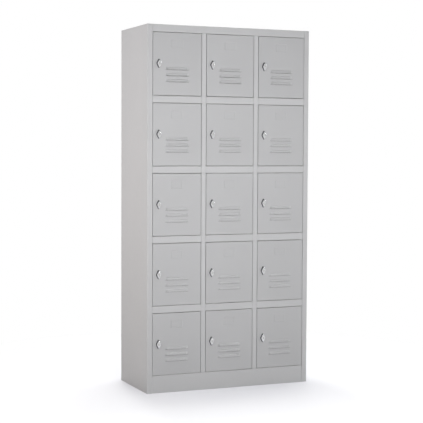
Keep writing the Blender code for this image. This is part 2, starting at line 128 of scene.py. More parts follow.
# The painted shade on the flanks reaches out to here
HANDLE_SHADE_REACH = 0.0112
HANDLE_ARC_STEPS = 10
HANDLE_FLANK_STEPS = 6
HANDLE_FACE_STEPS = 4
CROWN_STEPS = 7

# Key cylinder, set in the handle
CYLINDER_RADIUS = 0.0055
CYLINDER_SUNK = 0.0003
CYLINDER_DEPTH = 0.003
CYLINDER_CHAMFER = 0.0004
KEYHOLE_WIDTH = 0.0014
KEYHOLE_HEIGHT = 0.008
KEYHOLE_CORNER_RADIUS = KEYHOLE_WIDTH / 4

# Threaded housing through the pan, and its nut
BARREL_RADIUS = 0.008
HOUSING_RADIUS = 0.0106
HOUSING_DEPTH = 0.0195
THREAD_PITCH = 0.0015
THREAD_DEPTH = 0.0005
NUT_FLAT_RADIUS = 0.0125
NUT_DEPTH = 0.004
NUT_CHAMFER = 0.0008
NUT_CORNER_SHARE = 1.02

# Cam behind the door, and its screw
CAM_WIDTH = 0.016
CAM_LENGTH = 0.043
CAM_THICKNESS = 0.002
CAM_GAP = 0.0015
CAM_EDGE_RADIUS = 0.0003
CAM_ARC_STEPS = 10
CAM_SCREW_FLAT_RADIUS = 0.0044
CAM_SCREW_HEIGHT = 0.0025
CAM_SCREW_SIDE_SHARE = 0.7
CAM_SCREW_CORNER_SHARE = 1.03

# Sides of every round piece
ROUND_STEPS = 36

# Camera, solved from the photograph's straight edges
PHOTO_PIXELS = 423
FOCAL_PIXELS = 1209.47
SENSOR = 36.0
CAMERA_PLACE = Vector((-2.5111, -5.8631, 1.2295))
CAMERA_AZIMUTH = math.radians(23.032)
CAMERA_DOWN = math.radians(2.941)
CAMERA_ROLL = math.radians(0.254)

# Colours of the surfaces
FRAME_COLOUR = (0.57, 0.57, 0.58)
DOOR_COLOUR = (0.52, 0.52, 0.53)
# Painted shade: a dark grey on the louvre lips that stands in for the shade in their slits
LIP_SHADE_COLOUR = (0.155, 0.155, 0.16)
CHROME_COLOUR = (0.66, 0.66, 0.67)
# Painted shade: a dark chrome on the handle's flanks that stands in for their shade and dark reflection
FLANK_SHADE_COLOUR = (0.22, 0.22, 0.23)
ZINC_COLOUR = (0.52, 0.52, 0.51)
NICKEL_COLOUR = (0.58, 0.58, 0.575)

# Place of the second material in the pan's list and in the handle's list
LIP_SHADE_INDEX = 1
FLANK_SHADE_INDEX = 1

# How far the patterns move from copy to copy of a piece, times the copy's random number from 0 to 1
COPY_SHIFT = (7.0, 11.0, 13.0)

# Width of the thin coat along edges, and how well the rounded normal and the true one agree at an
# edge and on the flat
EDGE_WEAR_RADIUS = 0.0012
EDGE_WEAR_SAMPLES = 4
EDGE_AGREEMENT = 0.75
FLAT_AGREEMENT = 0.99

# Floor: clear of white near the object, white further out, with a glow that lifts its shadows
FLOOR_SIZE = 40.0
CLEAR_FLOOR_RADIUS = 0.4
WHITE_FLOOR_RADIUS = 1.8
FLOOR_COLOUR = (0.6, 0.6, 0.6, 1)
FLOOR_ROUGHNESS = 0.9
FLOOR_GLOW_COLOUR = (0.89, 0.9, 1.0, 1)
FLOOR_GLOW = 0.3
# What the floor sends back up
FLOOR_BOUNCE_COLOUR = (0.22, 0.22, 0.22, 1)

# World: a faint even light, and white surroundings for mirrors that darken overhead.
# Heights are those of a direction, 0 level and 1 straight up.
WHITE = (1, 1, 1, 1)
EVEN_LIGHT_COLOUR = (0.97, 0.99, 1, 1)
EVEN_LIGHT = 0.1
OVERHEAD_WHITE = 0.1
DARKENING_STARTS = 0.3
DARKENING_ENDS = 0.55

# Softboxes: name, place, the point that it faces, width and height, watts, colour, and whether bright
# metal mirrors it. Two stand in front, two at the left, one at the right and one behind. A far one on
# the right gives the handles their glint, and two high up behind the object throw its soft shadow
# forward.
PLAIN_LIGHT = (1, 1, 1)
SOFTBOXES = (
    ("front_softbox", (0.35, -2.6, 1.25), (0.1, -0.2, 1.15), (1.2, 1.0), 22.8, PLAIN_LIGHT, False),
    ("front_left_softbox", (-0.8, -2.6, 1.25), (0, -0.2, 1.15), (1.2, 1.0), 25.5, PLAIN_LIGHT, False),
    ("highlight_softbox", (10.6, -4.2, 4.7), (0, -0.2, 1.0), (2.4, 2.4), 220, PLAIN_LIGHT, True),
    ("left_softbox", (-2.2, 0, 1.8), (-0.4, 0, 1.4), (1.0, 1.0), 18, (1, 0.98, 0.98), False),
    ("low_left_softbox", (-2.0, -0.3, 0.8), (-0.4, -0.1, 0.8), (0.8, 0.8), 6.8, (1, 0.9, 0.83), False),
    ("right_softbox", (2.6, 0.5, 1.8), (0.4, 0, 1.2), (1.5, 1.5), 30, PLAIN_LIGHT, False),
    ("rear_softbox", (0.4, 3.0, 1.6), (0, 0.2, 1.1), (1.5, 1.5), 30, PLAIN_LIGHT, False),
    ("overhead_softbox", (0.03, 2.4, 10), (0.03, 2.4, 0), (0.7, 3.1), 353, PLAIN_LIGHT, False),
    ("overhead_right_softbox", (1.88, 2.4, 10), (1.88, 2.4, 0), (0.95, 3.1), 284, PLAIN_LIGHT, False),
)

# Faces that meet at more than this angle keep a sharp edge between them
SMOOTH_ANGLE = math.radians(50)
# How far large faces outweigh small ones in the normals that they share, where 50 is neutral
FLAT_FACE_WEIGHT = 100
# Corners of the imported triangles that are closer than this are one
WELD_DISTANCE = 1e-6

# Worked out from the sizes above
FACE = -HINGE_BEHIND_FACE
DOOR_REAR = FACE + DOOR_DEPTH


def link(item):
    bpy.context.scene.collection.objects.link(item)
    return item


def smooth_step(share):
    share = min(max(share, 0.0), 1.0)
    return share * share * (3 - 2 * share)


# Mesh helpers: every piece is built from rings of points, lofted one to the next


def rounded_rectangle(half_u, half_v, radius):
    points = []
    corners = ((1, 1), (-1, 1), (-1, -1), (1, -1))
    for quarter, (side_u, side_v) in enumerate(corners):
        for step in range(CORNER_STEPS + 1):
            turn = math.pi / 2 * (quarter + step / CORNER_STEPS)
            u = side_u * (half_u - radius) + radius * math.cos(turn)
            v = side_v * (half_v - radius) + radius * math.sin(turn)
            points.append((u, v))
    return points


def circle(radius):
    turns = [2 * math.pi * i / ROUND_STEPS for i in range(ROUND_STEPS)]
    return [(radius * math.cos(turn), radius * math.sin(turn)) for turn in turns]


def facing_front(outline, y, middle=(0, 0)):
    """The outline's points upright, as someone in front of the doors sees them."""
    return [(middle[0] + u, y, middle[1] + v) for u, v in outline]


def facing_up(outline, z):
    return [(u, v, z) for u, v in outline]


def add_ring(shape, points):
    return [shape.verts.new(point) for point in points]


def bridge(shape, first, second):
    count = len(first)
    for i in range(count):
        j = (i + 1) % count
        shape.faces.new((first[i], first[j], second[j], second[i]))


def loft(shape, rings):
    made = [add_ring(shape, ring) for ring in rings]
    for first, second in zip(made, made[1:]):
        bridge(shape, first, second)
    return made


def solid_loft(shape, rings):
    made = loft(shape, rings)
    shape.faces.new(made[0])
    shape.faces.new(made[-1])


def hollow_loft(shape, rings):
    made = loft(shape, rings)
    bridge(shape, made[-1], made[0])


def fill_flat(shape, loops):
    """Faces over the flat room inside the first loop and outside the others."""
    edges = []
    for loop in loops:
        for i, vertex in enumerate(loop):
            following = loop[(i + 1) % len(loop)]
            edge = shape.edges.get((vertex, following))
            edges.append(edge or shape.edges.new((vertex, following)))
    bmesh.ops.triangle_fill(shape, use_beauty=True, use_dissolve=False, edges=edges)


def to_mesh(shape, name, materials):
    bmesh.ops.recalc_face_normals(shape, faces=shape.faces)
    mesh = bpy.data.meshes.new(name)
    shape.to_mesh(mesh)
    shape.free()
    for material in materials:
        mesh.materials.append(material)
    mesh.shade_smooth()
    mesh.set_sharp_from_angle(angle=SMOOTH_ANGLE)
    return mesh


def even_normals(item):
    """Keeps large flat faces flat where a rounded edge is shaded smooth."""
    step = item.modifiers.new("even_normals", "WEIGHTED_NORMAL")
    step.keep_sharp = True
    step.weight = FLAT_FACE_WEIGHT


def quarter_turn(start_inset, end_inset, start_y, end_y, inset_first):
    """Stations of a rounded fold between two directions, as (inset, y)."""
    stations = []
    for step in range(FOLD_STEPS + 1):
        turn = math.pi / 2 * step / FOLD_STEPS
        early = math.sin(turn)
        late = 1 - math.cos(turn)
        inset_share, y_share = (early, late) if inset_first else (late, early)
        inset = start_inset + (end_inset - start_inset) * inset_share
        y = start_y + (end_y - start_y) * y_share
        stations.append((inset, y))
    return stations


# Materials: each surface gets its own grain, its slow variation and its relief from nodes


def new_material(name):
    material = bpy.data.materials.new(name)
    material.use_nodes = True
    tree = material.node_tree
    return material, tree, tree.nodes["Principled BSDF"]


def add_node(tree, kind, settings=None, values=None, links=None):
    made = tree.nodes.new(kind)
    for key, value in (settings or {}).items():
        setattr(made, key, value)
    for key, value in (values or {}).items():
        made.inputs[key].default_value = value
    for key, source in (links or {}).items():
        tree.links.new(source, made.inputs[key])
    return made


def surface_place(tree):
    """Each piece's own coordinates, shifted by a random step so that no two copies match."""
    place = add_node(tree, "ShaderNodeTexCoord")
    info = add_node(tree, "ShaderNodeObjectInfo")
    shift = add_node(
        tree, "ShaderNodeVectorMath", {"operation": "SCALE"},
        {0: COPY_SHIFT}, {"Scale": info.outputs["Random"]},
    )
    moved = add_node(
        tree, "ShaderNodeVectorMath", {"operation": "ADD"},
        links={0: place.outputs["Object"], 1: shift.outputs["Vector"]},
    )
    return moved.outputs["Vector"]


def noise(tree, place, scale, detail=2.0, roughness=0.5):
    made = add_node(
        tree, "ShaderNodeTexNoise", {},
        {"Scale": scale, "Detail": detail, "Roughness": roughness}, {"Vector": place},
    )
    return made.outputs["Fac"]


def spread(tree, source, low, high, from_low=0.3, from_high=0.7):
    """Maps the middle of a pattern's range to low and high."""
    made = add_node(
        tree, "ShaderNodeMapRange", {"clamp": True},
        {"From Min": from_low, "From Max": from_high, "To Min": low, "To Max": high},
        {"Value": source},
    )
    return made.outputs["Result"]


def multiply(tree, first, second):
    made = add_node(tree, "ShaderNodeMath", {"operation": "MULTIPLY"}, links={0: first, 1: second})
    return made.outputs["Value"]


def tinted(tree, colour, amount):
    """A fixed colour made lighter or darker by a pattern."""
    made = add_node(
        tree, "ShaderNodeVectorMath", {"operation": "SCALE"}, {0: colour}, {"Scale": amount},
    )
    return made.outputs["Vector"]


def relief(tree, height, distance, under=None):
    made = add_node(
        tree, "ShaderNodeBump", {}, {"Distance": distance, "Strength": 1.0}, {"Height": height},
    )
    if under is not None:
        tree.links.new(under, made.inputs["Normal"])
    return made.outputs["Normal"]


def edge_mask(tree):
    """Rises from 0 on the flat to 1 along an edge."""
    rounded = add_node(
        tree, "ShaderNodeBevel", {"samples": EDGE_WEAR_SAMPLES}, {"Radius": EDGE_WEAR_RADIUS},
    )
    true_normal = add_node(tree, "ShaderNodeNewGeometry")
    along = add_node(
        tree, "ShaderNodeVectorMath", {"operation": "DOT_PRODUCT"},
        links={0: rounded.outputs["Normal"], 1: true_normal.outputs["Normal"]},
    )
    return spread(
        tree, along.outputs["Value"], low=1.0, high=0.0,
        from_low=EDGE_AGREEMENT, from_high=FLAT_AGREEMENT,
    )


def powder_coat(name, colour):
    """Satin powder coat: orange peel, fine speckle, slow drift in tone, a thin coat along the edges."""
    material, tree, shader = new_material(name)
    place = surface_place(tree)
    drift = spread(tree, noise(tree, place, scale=3.0), low=0.985, high=1.015)
    speckle = spread(tree, noise(tree, place, scale=900.0, detail=1.0), low=0.99, high=1.01)
    edge = spread(tree, edge_mask(tree), low=1.0, high=1.05, from_low=0.0, from_high=1.0)
    tone = multiply(tree, multiply(tree, drift, speckle), edge)
    tree.links.new(tinted(tree, colour, tone), shader.inputs["Base Color"])
    gloss = noise(tree, place, scale=55.0, detail=3.0, roughness=0.6)
    tree.links.new(spread(tree, gloss, low=0.38, high=0.48), shader.inputs["Roughness"])
    waves = relief(tree, noise(tree, place, scale=5.0, detail=1.0), distance=0.0012)
    grain = noise(tree, place, scale=620.0, detail=1.0)
    peel = relief(tree, grain, distance=0.00003, under=waves)
    tree.links.new(peel, shader.inputs["Normal"])
    return material


def bright_chrome(name, colour):
    """Chrome over a die casting: soft waves, fine polishing lines and faint handling marks."""
    material, tree, shader = new_material(name)
    shader.inputs["Metallic"].default_value = 1.0
    place = surface_place(tree)
    haze = noise(tree, place, scale=180.0, detail=3.0, roughness=0.6)
    tone = spread(tree, haze, low=0.94, high=1.03)
    tree.links.new(tinted(tree, colour, tone), shader.inputs["Base Color"])
    lines = add_node(
        tree, "ShaderNodeMapping", {}, {"Scale": (3500.0, 3500.0, 160.0)}, {"Vector": place},
    )
    polish = noise(tree, lines.outputs["Vector"], scale=1.0, detail=2.0)
    tree.links.new(spread(tree, polish, low=0.12, high=0.24), shader.inputs["Roughness"])
    waves = relief(tree, noise(tree, place, scale=140.0, detail=1.0), distance=0.00006)
    scratches = relief(tree, polish, distance=0.000004, under=waves)
    tree.links.new(scratches, shader.inputs["Normal"])
    return material


def zinc_plate(name, colour):
    """Zinc-plated steel: dull, cloudy, with a slight grain."""
    material, tree, shader = new_material(name)
    shader.inputs["Metallic"].default_value = 1.0
    place = surface_place(tree)
    clouds = noise(tree, place, scale=120.0, detail=4.0, roughness=0.6)
    tone = spread(tree, clouds, low=0.82, high=1.08)
    tree.links.new(tinted(tree, colour, tone), shader.inputs["Base Color"])
    grain = noise(tree, place, scale=900.0, detail=2.0)
    tree.links.new(spread(tree, grain, low=0.30, high=0.46), shader.inputs["Roughness"])
    tree.links.new(relief(tree, grain, distance=0.00001), shader.inputs["Normal"])
    return material


def turned_nickel(name, colour):
    """Face of the key cylinder, with the fine rings that a lathe leaves."""
    material, tree, shader = new_material(name)
    shader.inputs["Metallic"].default_value = 1.0
    place = add_node(tree, "ShaderNodeTexCoord").outputs["Object"]
    rings = add_node(
        tree, "ShaderNodeTexWave", {"wave_type": "RINGS", "rings_direction": "Y"},
        {"Scale": 900.0, "Distortion": 0.6, "Detail": 2.0}, {"Vector": place},
    ).outputs["Fac"]
    tone = spread(tree, rings, low=0.92, high=1.04, from_low=0.0, from_high=1.0)
    tree.links.new(tinted(tree, colour, tone), shader.inputs["Base Color"])
    gloss = spread(tree, rings, low=0.2, high=0.34, from_low=0.0, from_high=1.0)
    tree.links.new(gloss, shader.inputs["Roughness"])
    tree.links.new(relief(tree, rings, distance=0.000006), shader.inputs["Normal"])
    return material


# Doors


def louvre_height(along, down):
    """How far the hood stands out, at a share of the slope from its end and a share of its height."""
    shoulder = LOUVRE_SHOULDER_SHARE * smooth_step(down / LOUVRE_RISE_SHARE)
    lean = (1 - LOUVRE_SHOULDER_SHARE) * down
    return LOUVRE_PROUD * smooth_step(along) * (shoulder + lean)


def louvre_stations():
    """Places across the hood as (x, share of the end slope), and down it as shares of its height."""
    across = []
    for step in range(LOUVRE_END_STEPS + 1):
        share = step / LOUVRE_END_STEPS
        across.append((-LOUVRE_WIDTH / 2 + share * LOUVRE_END_SLOPE, share))
    across += [(-x, share) for x, share in reversed(across)]
    down = [LOUVRE_RISE_SHARE * i / LOUVRE_RISE_STEPS for i in range(LOUVRE_RISE_STEPS)]
    lip_share = LOUVRE_LIP / LOUVRE_HEIGHT
    for i in range(LOUVRE_LEAN_STEPS + 1):
        down.append(LOUVRE_RISE_SHARE + (1 - LOUVRE_RISE_SHARE - lip_share) * i / LOUVRE_LEAN_STEPS)
    down.append(1)
    return across, down


def add_louvre(shape, middle_x, middle_z):
    """Adds a hood, its cut lip and its slit, and gives its outlines in the pan's two faces."""
    across, down = louvre_stations()
    foot = middle_z - LOUVRE_HEIGHT / 2
    last = len(across) - 1
    lip_row = len(down) - 2
    outlines = []
    lips = []
    sills = []
    for y in (FACE, FACE + SHEET):
        grid = []
        for i, (x, end_share) in enumerate(across):
            column = []
            for share in down:
                z = middle_z + LOUVRE_HEIGHT * (0.5 - share)
                if 0 < i < last:
                    z += LOUVRE_SLIT * share
                column.append(shape.verts.new((middle_x + x, y - louvre_height(end_share, share), z)))
            grid.append(column)
        for left, right in zip(grid, grid[1:]):
            for j in range(lip_row + 1):
                face = shape.faces.new((left[j], left[j + 1], right[j + 1], right[j]))
                # The hood's lowest band is painted dark, as painted shade along the lip
                if j == lip_row:
                    face.material_index = LIP_SHADE_INDEX
        sill = [grid[0][-1]]
        sill += [shape.verts.new((middle_x + x, y, foot)) for x, _ in across[1:-1]]
        sill.append(grid[-1][-1])
        top = [column[0] for column in grid[1:-1]]
        outlines.append(grid[0] + sill[1:-1] + grid[-1][::-1] + top[::-1])
        lips.append([column[-1] for column in grid])
        sills.append(sill)
    # The lip's and the sill's cut faces get the same painted shade
    for outer, inner in (lips, sills):
        for i in range(last):
            face = shape.faces.new((outer[i], outer[i + 1], inner[i + 1], inner[i]))
            face.material_index = LIP_SHADE_INDEX
    return outlines


def add_card_holder(shape, middle_x, middle_z):
    """A frame on the pan's face whose inner half stands clear, so that a card slides under it."""
    outer_in, outer_up = CARD_OUTER_ROUND
    inner_in, inner_up = CARD_INNER_ROUND
    top = FACE - CARD_PROUD
    stations = (
        (0, FACE), (CARD_SLOPE * outer_in, FACE - CARD_PROUD * outer_up), (CARD_SLOPE, top),
        (CARD_RIM - CARD_SLOPE * inner_in, top), (CARD_RIM, FACE - CARD_PROUD * inner_up),
        (CARD_RIM, FACE - CARD_SLOT), (CARD_FOOT, FACE - CARD_SLOT), (CARD_FOOT, FACE),
    )
    rings = []
    for inset, y in stations:
        radius = max(CARD_CORNER_RADIUS - inset, CARD_INNER_CORNER_RADIUS)
        outline = rounded_rectangle(CARD_WIDTH / 2 - inset, CARD_HEIGHT / 2 - inset, radius)
        rings.append(facing_front(outline, y, (middle_x, middle_z)))
    hollow_loft(shape, rings)


def door_pan_mesh(half_width, half_height, paint, painted_lip_shade):
    """One pan about its hinge axis, folded back on all four sides with a lip behind."""
    middle_x = HINGE_FROM_EDGE - half_width
    inside = DOOR_REAR - SHEET
    stations = quarter_turn(FOLD_RADIUS, 0, FACE, FACE + FOLD_RADIUS, True)
    stations += quarter_turn(0, REAR_FOLD_RADIUS, DOOR_REAR - REAR_FOLD_RADIUS, DOOR_REAR, False)
    stations += [(DOOR_LIP, DOOR_REAR), (DOOR_LIP, inside)]
    stations += quarter_turn(SHEET + INNER_RADIUS, SHEET, inside, inside - INNER_RADIUS, True)
    stations += quarter_turn(
        SHEET, SHEET + INNER_RADIUS, FACE + SHEET + INNER_RADIUS, FACE + SHEET, False,
    )
    shape = bmesh.new()
    rings = []
    for inset, y in stations:
        radius = max(PAN_CORNER_RADIUS - inset, PAN_INNER_CORNER_RADIUS)
        outline = rounded_rectangle(half_width - inset, half_height - inset, radius)
        rings.append(facing_front(outline, y, (middle_x, 0)))
    made = loft(shape, rings)
    lock_middle = (middle_x - half_width + LOCK_FROM_EDGE, LOCK_ABOVE_CENTRE)
    hole = circle(HOUSING_RADIUS + FINE_GAP)
    hole_rings = loft(shape, [facing_front(hole, y, lock_middle) for y in (FACE, FACE + SHEET)])
    outer_loops = [made[0], hole_rings[0]]
    inner_loops = [made[-1], hole_rings[1]]
    for i in range(LOUVRES):
        below = LOUVRE_MIDDLE_BELOW_CENTRE + (i - (LOUVRES - 1) / 2) * LOUVRE_PITCH
        outer, inner = add_louvre(shape, middle_x, -below)
        outer_loops.append(outer)
        inner_loops.append(inner)
    fill_flat(shape, outer_loops)
    fill_flat(shape, inner_loops)
    add_card_holder(shape, middle_x, CARD_ABOVE_CENTRE)
    return to_mesh(shape, "door_pan", [paint, painted_lip_shade])


def hinge_pins_mesh(half_height, zinc):
    """Both pins of a door with their shoulders, about the hinge axis."""
    shape = bmesh.new()
    for side in (-1, 1):
        shoulder_end = half_height + DOOR_GAP - SHOULDER_GAP
        pin_end = half_height + DOOR_GAP + SHEET + PIN_REACH
        stations = (
            (SHOULDER_RADIUS, half_height - SHEET), (SHOULDER_RADIUS, shoulder_end - PIN_CHAMFER / 2),
            (SHOULDER_RADIUS - PIN_CHAMFER / 2, shoulder_end), (PIN_RADIUS, shoulder_end),
            (PIN_RADIUS, pin_end - PIN_CHAMFER), (PIN_RADIUS - PIN_CHAMFER, pin_end),
        )
        solid_loft(shape, [facing_up(circle(radius), side * z) for radius, z in stations])
    return to_mesh(shape, "hinge_pins", [zinc])


# Locks


def handle_outline(inset):
    """A pointed oval: a wide round middle drawn to a small round end above and below."""
    middle = HANDLE_MIDDLE_RADIUS - inset
    end = HANDLE_END_RADIUS - inset
    lean = math.asin((middle - end) / HANDLE_REACH)
    arcs = (
        (0, middle, -lean, lean),
        (HANDLE_REACH, end, lean, math.pi - lean),
        (0, middle, math.pi - lean, math.pi + lean),
        (-HANDLE_REACH, end, math.pi + lean, 2 * math.pi - lean),
    )
    rounds = []
    for centre_v, radius, start, stop in arcs:
        span = stop - start
        turns = [start + span * step / (HANDLE_ARC_STEPS - 1) for step in range(HANDLE_ARC_STEPS)]
        rounds.append([(radius * math.cos(turn), centre_v + radius * math.sin(turn)) for turn in turns])
    points = []
    for i, here in enumerate(rounds):
        following = rounds[(i + 1) % len(rounds)]
        flank = [step / HANDLE_FLANK_STEPS for step in range(1, HANDLE_FLANK_STEPS)]
        points += here + [part_way(here[-1], following[0], share) for share in flank]
    return points


def part_way(first, second, share):
    return tuple(a + (b - a) * share for a, b in zip(first, second))


def handle_face(edge):
    """Outlines on the handle's face, from its edge to the round bore of the key cylinder."""
    radius = CYLINDER_RADIUS + FINE_GAP
    bore = []
    for u, v in edge:
        turn = math.atan2(v, u)
        bore.append((radius * math.cos(turn), radius * math.sin(turn)))
    outlines = []
    for step in range(1, HANDLE_FACE_STEPS + 1):
        share = step / HANDLE_FACE_STEPS
        outlines.append([part_way(a, b, share) for a, b in zip(edge, bore)])
    return outlines


def handle_mesh(chrome, painted_flank_shade):
    """Turning handle with flanks painted dark as shade and a crowned bright top that falls away towards both ends,
    bored for the key cylinder. The door's face is at y = 0."""
    crown_start = LOCK_PROUD - HANDLE_CROWN
    room = HANDLE_END_RADIUS - HANDLE_DRAFT - HANDLE_FLAT_RADIUS
    stations = [(0, -HANDLE_FOOT_GAP)]
    for step in range(CROWN_STEPS + 1):
        turn = math.pi / 2 * step / CROWN_STEPS
        inset = HANDLE_DRAFT + room * (1 - math.cos(turn))
        stations.append((inset, -crown_start - HANDLE_CROWN * math.sin(turn)))
    shape = bmesh.new()
    rings = [facing_front(handle_outline(inset), y) for inset, y in stations]
    face_outlines = handle_face(handle_outline(stations[-1][0]))
    rings += [facing_front(outline, -LOCK_PROUD) for outline in face_outlines]
    rings.append(facing_front(face_outlines[-1], CYLINDER_DEPTH - LOCK_PROUD))
    solid_loft(shape, rings)
    # Faces near the door, the flanks, get the painted shade
    for face in shape.faces:
        if face.calc_center_median().y > -HANDLE_SHADE_REACH:
            face.material_index = FLANK_SHADE_INDEX
    half_height = HANDLE_REACH + HANDLE_END_RADIUS
    for vertex in shape.verts:
        fall = HANDLE_FALL * abs(vertex.co.z / half_height) ** HANDLE_FALL_POWER
        vertex.co.y *= 1 - fall / LOCK_PROUD
    return to_mesh(shape, "lock_handle", [chrome, painted_flank_shade])


def cylinder_mesh(nickel):
    """Key cylinder with its keyway, set in the handle's bore."""
    front = CYLINDER_SUNK - LOCK_PROUD
    rear = CYLINDER_DEPTH - FINE_GAP - LOCK_PROUD
    shape = bmesh.new()
    stations = (
        (CYLINDER_RADIUS, rear), (CYLINDER_RADIUS, front + CYLINDER_CHAMFER),
        (CYLINDER_RADIUS - CYLINDER_CHAMFER, front),
    )
    made = loft(shape, [facing_front(circle(radius), y) for radius, y in stations])
    shape.faces.new(made[0])
    keyway = rounded_rectangle(KEYHOLE_WIDTH / 2, KEYHOLE_HEIGHT / 2, KEYHOLE_CORNER_RADIUS)
    slot = loft(shape, [facing_front(keyway, y) for y in (front, rear - FINE_GAP)])
    fill_flat(shape, [made[-1], slot[0]])
    shape.faces.new(slot[1])
    return to_mesh(shape, "key_cylinder", [nickel])


def hexagon(flat_radius, most):
    """A hexagon's outline by angle. Its corners are cut at the radius most, unless that is None."""
    points = []
    for i in range(ROUND_STEPS):
        turn = 2 * math.pi * i / ROUND_STEPS
        off_middle = (turn + math.pi / 6) % (math.pi / 3) - math.pi / 6
        radius = flat_radius / math.cos(off_middle)
        if most is not None:
            radius = min(radius, most)
        points.append((radius * math.cos(turn), radius * math.sin(turn)))
    return points


def housing_mesh(zinc):
    """Threaded housing through the pan, open in the middle for the barrel, with its hex nut behind."""
    shape = bmesh.new()
    bore = circle(BARREL_RADIUS + FINE_GAP)
    rings = [facing_front(bore, HOUSING_DEPTH), facing_front(bore, 0)]
    turns = int((HOUSING_DEPTH - SHEET) / THREAD_PITCH)
    rings.append(facing_front(circle(HOUSING_RADIUS), 0))
    rings.append(facing_front(circle(HOUSING_RADIUS), SHEET))
    for turn in range(turns):
        crest = SHEET + (turn + 0.5) * THREAD_PITCH
        rings.append(facing_front(circle(HOUSING_RADIUS - THREAD_DEPTH), crest))
        rings.append(facing_front(circle(HOUSING_RADIUS), crest + THREAD_PITCH / 2))
    rings.append(facing_front(circle(HOUSING_RADIUS - THREAD_DEPTH), HOUSING_DEPTH))
    hollow_loft(shape, rings)
    front = SHEET + FINE_GAP
    chamfered = NUT_FLAT_RADIUS * NUT_CORNER_SHARE
    stations = (
        (front, chamfered), (front + NUT_CHAMFER, None),
        (front + NUT_DEPTH - NUT_CHAMFER, None), (front + NUT_DEPTH, chamfered),
    )
    nut = [facing_front(hexagon(NUT_FLAT_RADIUS, most), y) for y, most in stations]
    hole = circle(HOUSING_RADIUS + FINE_GAP)
    nut += [facing_front(hole, front + NUT_DEPTH), facing_front(hole, front)]
    hollow_loft(shape, nut)
    return to_mesh(shape, "lock_housing", [zinc])


def cam_outline(inset):
    """A flat tongue that hangs down from the barrel, with round ends."""
    half = CAM_WIDTH / 2
    radius = half - inset
    points = []
    for centre_v, start in ((0, 0), (-(CAM_LENGTH - half), math.pi)):
        for step in range(CAM_ARC_STEPS + 1):
            turn = start + math.pi * step / CAM_ARC_STEPS
            points.append((radius * math.cos(turn), centre_v + radius * math.sin(turn)))
    return points


def cam_mesh(zinc):
    """Barrel, cam and its hex screw, which turn with the handle."""
    cam_front = HOUSING_DEPTH + CAM_GAP
    cam_rear = cam_front + CAM_THICKNESS
    shape = bmesh.new()
    barrel = circle(BARREL_RADIUS)
    solid_loft(shape, [facing_front(barrel, y) for y in (HANDLE_FOOT_GAP, cam_front + CAM_EDGE_RADIUS)])
    stations = (
        (CAM_EDGE_RADIUS, cam_front), (0, cam_front + CAM_EDGE_RADIUS),
        (0, cam_rear - CAM_EDGE_RADIUS), (CAM_EDGE_RADIUS, cam_rear),
    )
    solid_loft(shape, [facing_front(cam_outline(inset), y) for inset, y in stations])
    most = CAM_SCREW_FLAT_RADIUS * CAM_SCREW_CORNER_SHARE
    screw = (
        (cam_rear - CAM_EDGE_RADIUS, None),
        (cam_rear + CAM_SCREW_HEIGHT * CAM_SCREW_SIDE_SHARE, None),
        (cam_rear + CAM_SCREW_HEIGHT, most),
    )
    solid_loft(shape, [facing_front(hexagon(CAM_SCREW_FLAT_RADIUS, cut), y) for y, cut in screw])
    return to_mesh(shape, "lock_cam", [zinc])


def joint_place(name):
    for joint in frame["joints"]:
        if joint["name"] == name:
            return Vector(joint["pos_m"])
    raise ValueError(name)


def put(name, mesh, place, body, node=None):
    item = link(bpy.data.objects.new(name, mesh))
    item.location = place
    even_normals(item)
    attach(item, body)
    if node is not None:
        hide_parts(node)
    return item


def make_doors(materials):
    """Every door and lock shares its meshes with the others, and rides on its own body."""
    low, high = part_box("door_row1_left")
    pin_end = DOOR_GAP + SHEET + PIN_REACH
    half_width = (high.x - low.x) / 2
    half_height = (high.z - low.z) / 2 - pin_end
    pan = door_pan_mesh(half_width, half_height, materials["door"], materials["painted_lip_shade"])
    pins = hinge_pins_mesh(half_height, materials["zinc"])
    handle = handle_mesh(materials["chrome"], materials["painted_flank_shade"])
    cylinder = cylinder_mesh(materials["nickel"])
    housing = housing_mesh(materials["zinc"])
    cam = cam_mesh(materials["zinc"])
    for node in sorted(frame["nodes"]):
        if not node.startswith("door_"):
            continue
        place = node.removeprefix("door_")
        door_body = node
        lock_body = f"lock_{place}"
        hinge = joint_place(f"{node}_hinge")
        axis = joint_place(f"lock_{place}_turn")
        put(f"door_pan_{place}", pan, hinge, door_body, node)
        put(f"hinge_pins_{place}", pins, hinge, door_body)
        put(f"lock_housing_{place}", housing, axis, door_body)
        put(f"lock_handle_{place}", handle, axis, lock_body, lock_body)
        put(f"key_cylinder_{place}", cylinder, axis, lock_body)
        put(f"lock_cam_{place}", cam, axis, lock_body)


# Cabinet


def shade_group():
    """Node group that shades smooth, and keeps edges sharp past SMOOTH_ANGLE."""
    group = bpy.data.node_groups.new("smooth_by_angle", "GeometryNodeTree")
    group.interface.new_socket("Geometry", in_out="INPUT", socket_type="NodeSocketGeometry")
    group.interface.new_socket("Geometry", in_out="OUTPUT", socket_type="NodeSocketGeometry")
    start = add_node(group, "NodeGroupInput")
    angle = add_node(group, "GeometryNodeInputMeshEdgeAngle")
    gentle = add_node(
        group, "FunctionNodeCompare", {"operation": "LESS_THAN"}, {"B": SMOOTH_ANGLE},
        {"A": angle.outputs["Unsigned Angle"]},
    )
    faces = add_node(
        group, "GeometryNodeSetShadeSmooth", {"domain": "FACE"}, links={"Geometry": start.outputs[0]},
    )
    edges = add_node(
        group, "GeometryNodeSetShadeSmooth", {"domain": "EDGE"},
        links={"Geometry": faces.outputs[0], "Shade Smooth": gentle.outputs["Result"]},
    )
    add_node(group, "NodeGroupOutput", links={"Geometry": edges.outputs[0]})
    return group


def dress_cabinet(paint):
    """Paints the cabinet's packed sheets, and joins and shades their triangles."""
    group = shade_group()
    for name in frame["record"]["behaviour"]["bodies"]["cabinet"]:
        item = frame["nodes"][name]
        item.data.materials.clear()
        item.data.materials.append(paint)
        weld = item.modifiers.new("weld", "WELD")
        weld.merge_threshold = WELD_DISTANCE
        shade = item.modifiers.new("shade", "NODES")
        shade.node_group = group
        even_normals(item)


# Studio


